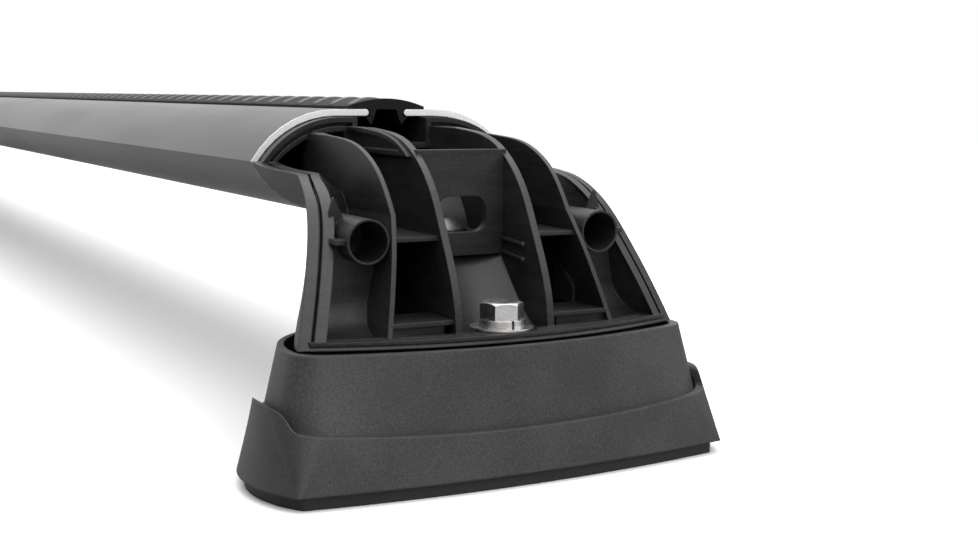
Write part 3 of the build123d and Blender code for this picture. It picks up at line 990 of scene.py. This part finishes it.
@dataclass
class Cover(SubAssembly):
    """Pull-off outer cover of the far leg."""

    def build(self) -> None:
        """Dress the cover."""
        self.dress("far_cover", Slot.FOOT)


@dataclass(frozen=True)
class Lamp:
    """A square soft lamp: its place from the near leg's foot, its width and its power."""

    name: str
    place: Triple
    size: float
    watts: float


@dataclass
class Studio:
    """Camera at the photo's place, pale floor and soft light."""

    focal_px: float = 1375.4
    image_px: float = 978.0
    sensor: float = 36.0
    clip_start: float = 1 * MM
    yaw: float = math.radians(29.01)
    pitch: float = math.radians(7.45)
    roll: float = math.radians(0.56)
    stand: Triple = (300.4 * MM, -170.4 * MM, 58.1 * MM)
    floor_radius: float = 9.0
    floor_sides: int = 96
    floor_dark: Colour = grey(0.78)
    floor_light: Colour = grey(0.82)
    floor_blot: float = 0.6
    floor_roughness: float = 0.7
    fade_start: float = 0.9
    fade_end: float = 2.4
    bounce: float = 0.3
    horizon_light: float = 0.14
    zenith_light: float = 1.1
    zenith_range: Pair = (0.0, 0.9)
    backdrop_range: Pair = (0.3, 0.8)
    lamps: tuple[Lamp, ...] = (
        Lamp("top_softbox", (-0.6, 0.4, 3.4), 4.5, 150.0),
        Lamp("right_softbox", (0.9, 1.6, 1.0), 1.2, 12.0),
        Lamp("front_softbox", (1.5, -0.2, 1.5), 2.2, 34.0),
    )

    def camera(self) -> None:
        """Place the camera relative to the near bolt's flat washer."""
        low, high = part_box(Side.NEAR.node("flat_washer"))
        bolt = Vector(((low.x + high.x) / 2, (low.y + high.y) / 2, high.z))
        ahead = Vector((-math.cos(self.yaw), math.sin(self.yaw), 0))
        right = Vector((math.sin(self.yaw), math.cos(self.yaw), 0))
        up = Vector((0, 0, 1))
        look = math.cos(self.pitch) * ahead - math.sin(self.pitch) * up
        top = math.sin(self.pitch) * ahead + math.cos(self.pitch) * up
        side = math.cos(self.roll) * right + math.sin(self.roll) * top
        head = math.cos(self.roll) * top - math.sin(self.roll) * right
        data = bpy.data.cameras.new("photo_camera")
        data.sensor_width = self.sensor
        data.lens = self.focal_px * self.sensor / self.image_px
        data.clip_start = self.clip_start
        camera = bpy.data.objects.new("photo_camera", data)
        turn = Matrix((side, head, -look)).transposed().to_4x4()
        camera.matrix_world = Matrix.Translation(bolt + Vector(self.stand)) @ turn
        bpy.context.scene.collection.objects.link(camera)
        bpy.context.scene.camera = camera

    def floor(self) -> None:
        """Lay a round pale floor at the gaskets that fades to the white background."""
        paint = Paint("pale_floor")
        spread = paint.flow("ShaderNodeVectorMath", "Value", {"operation": "LENGTH"}, {0: paint.place})
        far = spread.rise(self.fade_start, self.fade_end)
        camera_ray = paint.flow("ShaderNodeLightPath", "Is Camera Ray")
        tone = paint.blend(paint.noise(self.floor_blot), self.floor_dark, self.floor_light)
        paint.set(
            Base_Color=paint.blend(camera_ray, grey(self.bounce), tone),
            Roughness=self.floor_roughness,
        )
        white = paint.node("ShaderNodeEmission", None, {"Color": grey(1.0)})
        mix = paint.node("ShaderNodeMixShader", None, {0: far * camera_ray})
        paint.tree.links.new(paint.shader.outputs[0], mix.inputs[1])
        paint.tree.links.new(white.outputs[0], mix.inputs[2])
        paint.tree.links.new(mix.outputs[0], paint.tree.nodes["Material Output"].inputs["Surface"])
        bm = bmesh.new()
        bmesh.ops.create_circle(bm, cap_ends=True, segments=self.floor_sides, radius=self.floor_radius)
        piece_from(bm, "pale_floor", paint.material)

    def sky(self) -> None:
        """Set a white background for the camera, and light from above and from a backdrop."""
        world = bpy.data.worlds.new("studio")
        world.use_nodes = True
        bpy.context.scene.world = world
        graph = Graph(world.node_tree)
        for node in list(graph.tree.nodes):
            graph.tree.nodes.remove(node)
        path = graph.node("ShaderNodeLightPath")
        seen = Flow(graph, path.outputs["Is Camera Ray"]) + Flow(graph, path.outputs["Is Transmission Ray"])
        way = graph.flow("ShaderNodeTexCoord", "Generated")
        x, z = (graph.flow("ShaderNodeSeparateXYZ", axis, None, {0: way}) for axis in "XZ")
        up = z.rise(*self.zenith_range)
        behind = (0 - x).rise(*self.backdrop_range)
        lit = self.horizon_light + (self.zenith_light - self.horizon_light) * (up + behind - up * behind)
        back = graph.node("ShaderNodeBackground", None, {
            "Color": grey(1.0), "Strength": seen + (1 - seen) * lit})
        out = graph.node("ShaderNodeOutputWorld")
        graph.tree.links.new(back.outputs[0], out.inputs["Surface"])

    def light(self, lamp: Lamp) -> None:
        """Hang a lamp that looks at the near leg.

        Args:
            lamp: Its place, width and power.
        """
        data = bpy.data.lights.new(lamp.name, "AREA")
        data.size = lamp.size
        data.energy = lamp.watts
        softbox = bpy.data.objects.new(lamp.name, data)
        aim = Vector((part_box(Side.NEAR.node("leg"))[1].x, 0, 0))
        place = Vector(lamp.place)
        softbox.location = aim + place
        softbox.rotation_euler = (-place).to_track_quat("-Z", "Y").to_euler()
        bpy.context.scene.collection.objects.link(softbox)

    def build(self) -> None:
        """Set the camera, floor, sky, lamps and plain colours."""
        self.camera()
        self.floor()
        self.sky()
        for lamp in self.lamps:
            self.light(lamp)
        bpy.context.scene.view_settings.view_transform = "Standard"
        log.info("built the studio")


def main() -> None:
    """Build each sub-assembly in turn, then set the studio."""
    logging.basicConfig(level=logging.INFO)
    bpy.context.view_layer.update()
    materials = {slot: finish.material() for slot, finish in FINISHES.items()}
    parts: list[SubAssembly] = [Crossbar(materials), RoofBolts(materials), Cover(materials)]
    for side in Side:
        parts += [Leg(materials, side), Foot(materials, side)]
    for part in parts:
        part.build()
    Studio().build()


if __name__ == "__main__":
    main()
